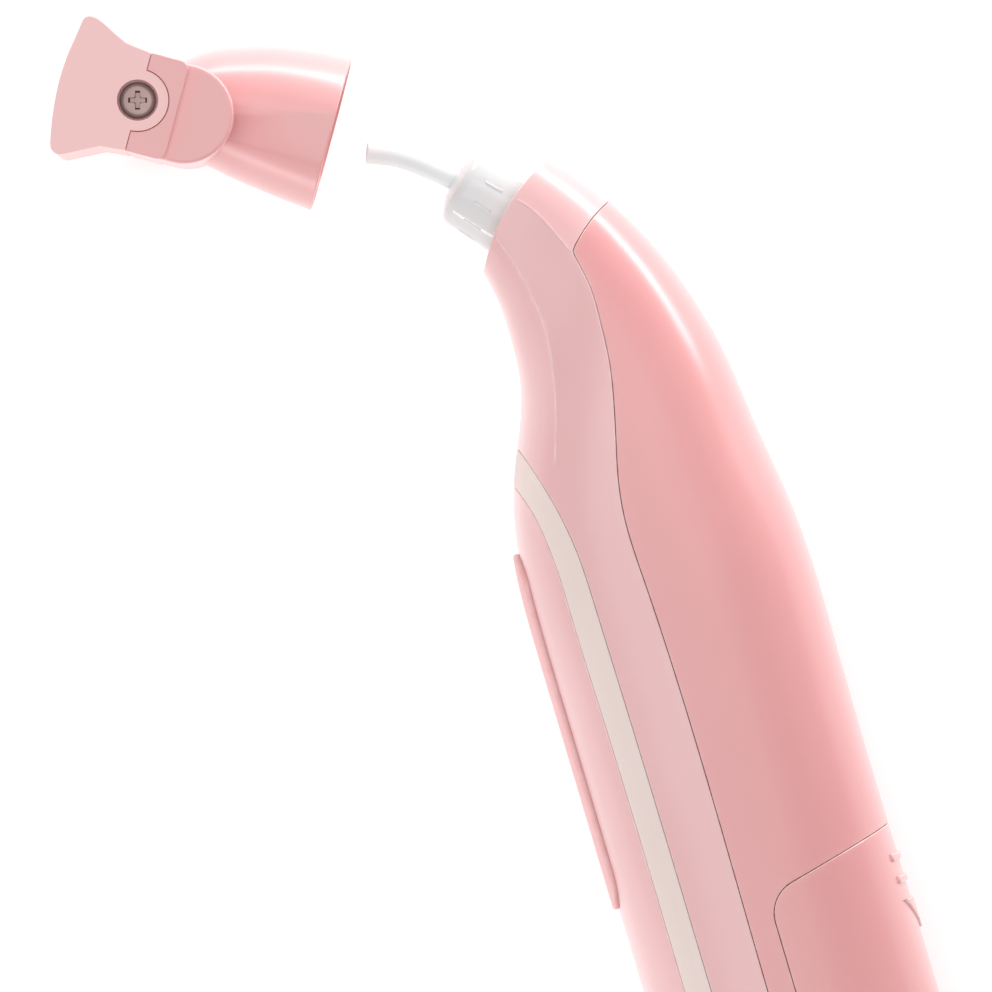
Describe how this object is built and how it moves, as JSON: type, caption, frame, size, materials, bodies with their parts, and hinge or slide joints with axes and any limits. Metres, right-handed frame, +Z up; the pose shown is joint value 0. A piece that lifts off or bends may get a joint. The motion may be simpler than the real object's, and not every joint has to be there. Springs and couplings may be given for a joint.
{
  "type": "garment steamer",
  "caption": "Handheld garment steamer with a curved handle, long trigger, slide-out water tank and a fan nozzle head pulled off its neck.",
  "frame": {"origin": "middle of the bounding box's underside, on the surface that the steamer lies on", "axes": "+Y up the handle towards the neck, +X from the handle's front (trigger) to its back, +Z up, across the handle's width"},
  "size_m": [0.1066, 0.2388, 0.044],
  "materials": {
    "pink_front": "satin pink moulded plastic",
    "pink_rear": "semi-gloss pink moulded plastic",
    "pink_head": "semi-gloss pink moulded plastic",
    "pink_nozzle": "satin pink moulded plastic, fine grain",
    "pink_trigger": "satin pink moulded plastic",
    "beige_trim": "satin beige strip",
    "white_collar": "glossy white moulded plastic",
    "white_plastic": "off-white moulded plastic",
    "silicone": "translucent white silicone",
    "rubber": "grey moulded rubber",
    "clear_tank": "clear tinted plastic",
    "aluminium": "cast aluminium",
    "screw_steel": "zinc-plated steel",
    "black_plastic": "black moulded plastic",
    "circuit_board": "green solder mask"
  },
  "bodies": {
    "handle": {"front_shell": "pink_front", "rear_shell": "pink_rear", "trim_arch": "beige_trim", "front_panel": "pink_front", "base_cap": "pink_rear", "cord_gland": "rubber", "base_screw_1": "screw_steel", "base_screw_2": "screw_steel", "collar": "white_collar", "collar_seal": "silicone", "steam_hose": "silicone", "boiler": "aluminium", "boiler_jacket": "white_plastic", "thermostat": "screw_steel", "pump": "black_plastic", "tank_dock": "silicone", "inlet_hose": "silicone", "feed_hose": "silicone", "chassis": "white_plastic", "control_board": "circuit_board", "trigger_bracket": "white_plastic", "bracket_screw_1": "screw_steel", "bracket_screw_2": "screw_steel", "trigger_pin": "screw_steel", "micro_switch": "black_plastic", "trigger_spring": "screw_steel"},
    "trigger": {"trigger": "pink_trigger"},
    "plunger": {"switch_plunger": "black_plastic"},
    "tank": {"tank_cover": "pink_rear", "water_tank": "clear_tank", "tank_seal": "silicone"},
    "plug": {"filler_plug": "silicone"},
    "head": {"head_shell": "pink_head", "nozzle_shell": "pink_nozzle", "steam_plate": "white_plastic", "nozzle_gasket": "silicone", "hose_socket": "silicone", "side_screw_near": "screw_steel", "side_screw_far": "screw_steel"}
  },
  "joints": [
    {"name": "head_pull_off", "type": "hinge", "parent": "handle", "child": "head", "pos_m": [-0.07479, -0.02313, 0.02201], "axis": [0, 0, -1], "range_deg": [0, 15.4]},
    {"name": "trigger_press", "type": "hinge", "parent": "handle", "child": "trigger", "pos_m": [0.00981, 0.00517, 0.02201], "axis": [0, 0, 1], "range_deg": [0, 1.5], "stiffness_Nm_per_rad": 1.5, "springref_deg": -1.15, "deforming": ["trigger_spring"]},
    {"name": "plunger_slide", "type": "slide", "parent": "handle", "child": "plunger", "axis": [1, 0, 0], "range_m": [0, 0.0008]},
    {"name": "tank_slide", "type": "slide", "parent": "handle", "child": "tank", "axis": [0, -1, 0], "range_m": [0, 0.075]},
    {"name": "plug_pull", "type": "slide", "parent": "tank", "child": "plug", "axis": [0, 1, 0], "range_m": [0, 0.008]}
  ],
  "couplings": [
    {"joint": "plunger_slide", "follows": "trigger_press", "m_per_rad": 0.0276}
  ]
}
